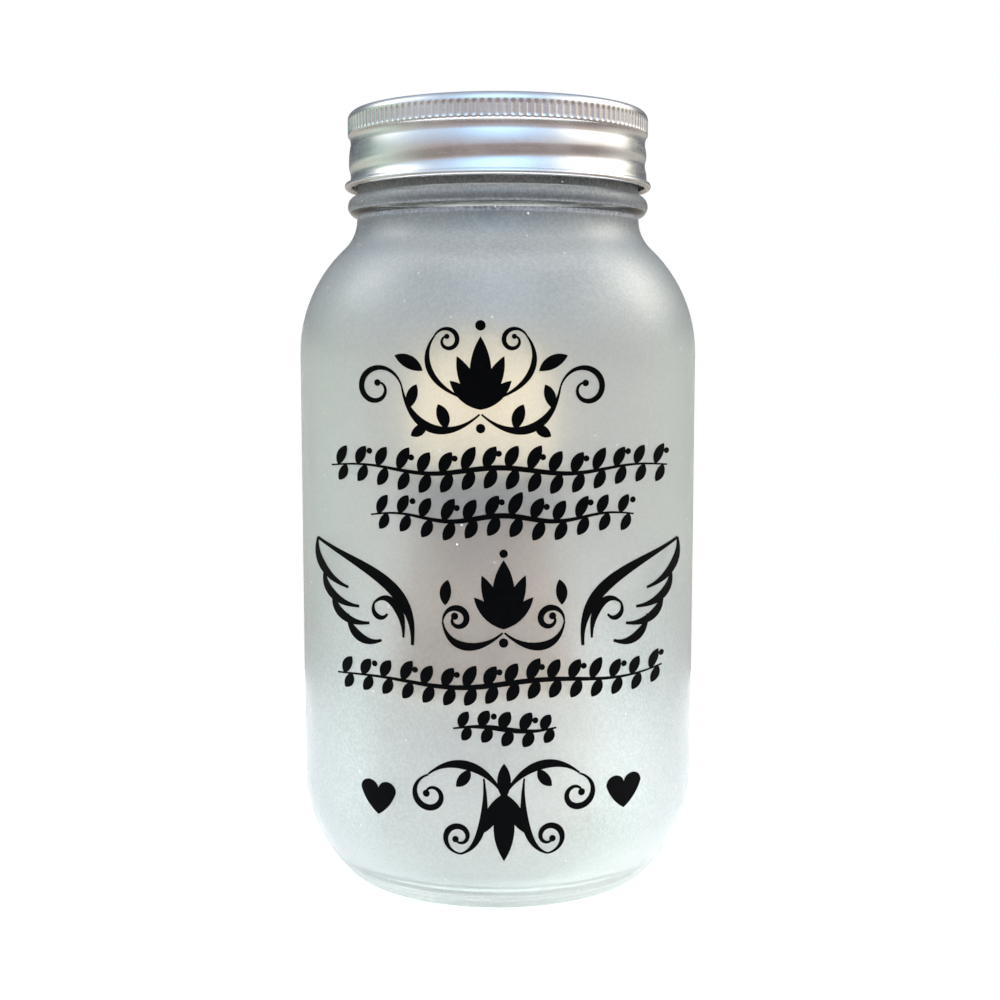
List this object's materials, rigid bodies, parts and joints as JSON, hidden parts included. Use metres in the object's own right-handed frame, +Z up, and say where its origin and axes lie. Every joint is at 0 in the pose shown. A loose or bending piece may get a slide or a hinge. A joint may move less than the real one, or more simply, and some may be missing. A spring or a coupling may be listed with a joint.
{
  "type": "mason jar lantern",
  "caption": "Frosted glass mason jar lantern with a two-piece screw lid, a printed ornament front and a removable battery globe lamp inside.",
  "frame": {"origin": "centre of the jar's base, on the plane that it stands on", "axes": "+Z up along the jar's axis, printed front towards -Y"},
  "size_m": [0.095, 0.0951, 0.1818],
  "materials": {
    "frosted_glass": "acid-frosted outside, clear at the heel and neck",
    "lid_metal": "satin silver",
    "disc_metal": "stamped tinplate",
    "gasket_rubber": "soft sealing compound",
    "black_ink": "black print",
    "foot_plastic": "fine moulded texture",
    "post_plastic": "brown, faintly streaked",
    "collar_plastic": "dark semi-gloss",
    "globe_diffuser": "frosted warm diffuser, lit from inside",
    "grey_plastic": "moulded",
    "black_plastic": "moulded",
    "cell_sleeve": "shrink sleeve, plain",
    "spring_steel": "nickel plated",
    "screw_steel": "zinc plated",
    "board_laminate": "solder mask",
    "component_black": "moulded packages",
    "led_epoxy": "clear warm epoxy",
    "wire_red": "insulation",
    "wire_black": "insulation"
  },
  "bodies": {
    "jar": {"glass_jar": "frosted_glass", "print_bottom_scroll": "black_ink", "print_centre_scroll": "black_ink", "print_heart_left": "black_ink", "print_heart_right": "black_ink", "print_title_scroll": "black_ink", "print_vine_fourth": "black_ink", "print_vine_second": "black_ink", "print_vine_third": "black_ink", "print_vine_upper": "black_ink", "print_wing_left": "black_ink", "print_wing_right": "black_ink"},
    "lid": {"lid_disc": "disc_metal", "lid_gasket": "gasket_rubber"},
    "band": {"screw_band": "lid_metal"},
    "door": {"battery_door": "grey_plastic", "door_contact": "spring_steel"},
    "knob": {"switch_knob": "black_plastic"},
    "lamp": {"base_screws": "screw_steel", "battery_1": "cell_sleeve", "battery_2": "cell_sleeve", "battery_3": "cell_sleeve", "battery_holder": "black_plastic", "board_components": "component_black", "bottom_plate": "grey_plastic", "circuit_board": "board_laminate", "contact_springs": "spring_steel", "foot_housing": "foot_plastic", "globe": "globe_diffuser", "lamp_collar": "collar_plastic", "led": "led_epoxy", "led_wire_black": "wire_black", "led_wire_red": "wire_red", "post_sleeve": "post_plastic", "switch_body": "black_plastic", "top_contact": "spring_steel"}
  },
  "joints": [
    {"name": "lid_rise", "type": "slide", "parent": "jar", "child": "lid", "axis": [0, 0, 1], "range_m": [0, 0.0072]},
    {"name": "band_turn", "type": "hinge", "parent": "lid", "child": "band", "pos_m": [0, 0, 0.17], "axis": [0, 0, 1], "range_deg": [0, 455]},
    {"name": "lamp_lift", "type": "slide", "parent": "jar", "child": "lamp", "axis": [0, 0, 1], "range_m": [0, 0.04]},
    {"name": "battery_door_turn", "type": "hinge", "parent": "lamp", "child": "door", "pos_m": [-0.004, 0, 0.0072], "axis": [0, 0, 1], "range_deg": [0, 30]},
    {"name": "switch_slide", "type": "slide", "parent": "lamp", "child": "knob", "axis": [0, 1, 0], "range_m": [0, 0.0026]}
  ],
  "couplings": [
    {"joint": "lid_rise", "follows": "band_turn", "m_per_rad": 0.00089127}
  ]
}
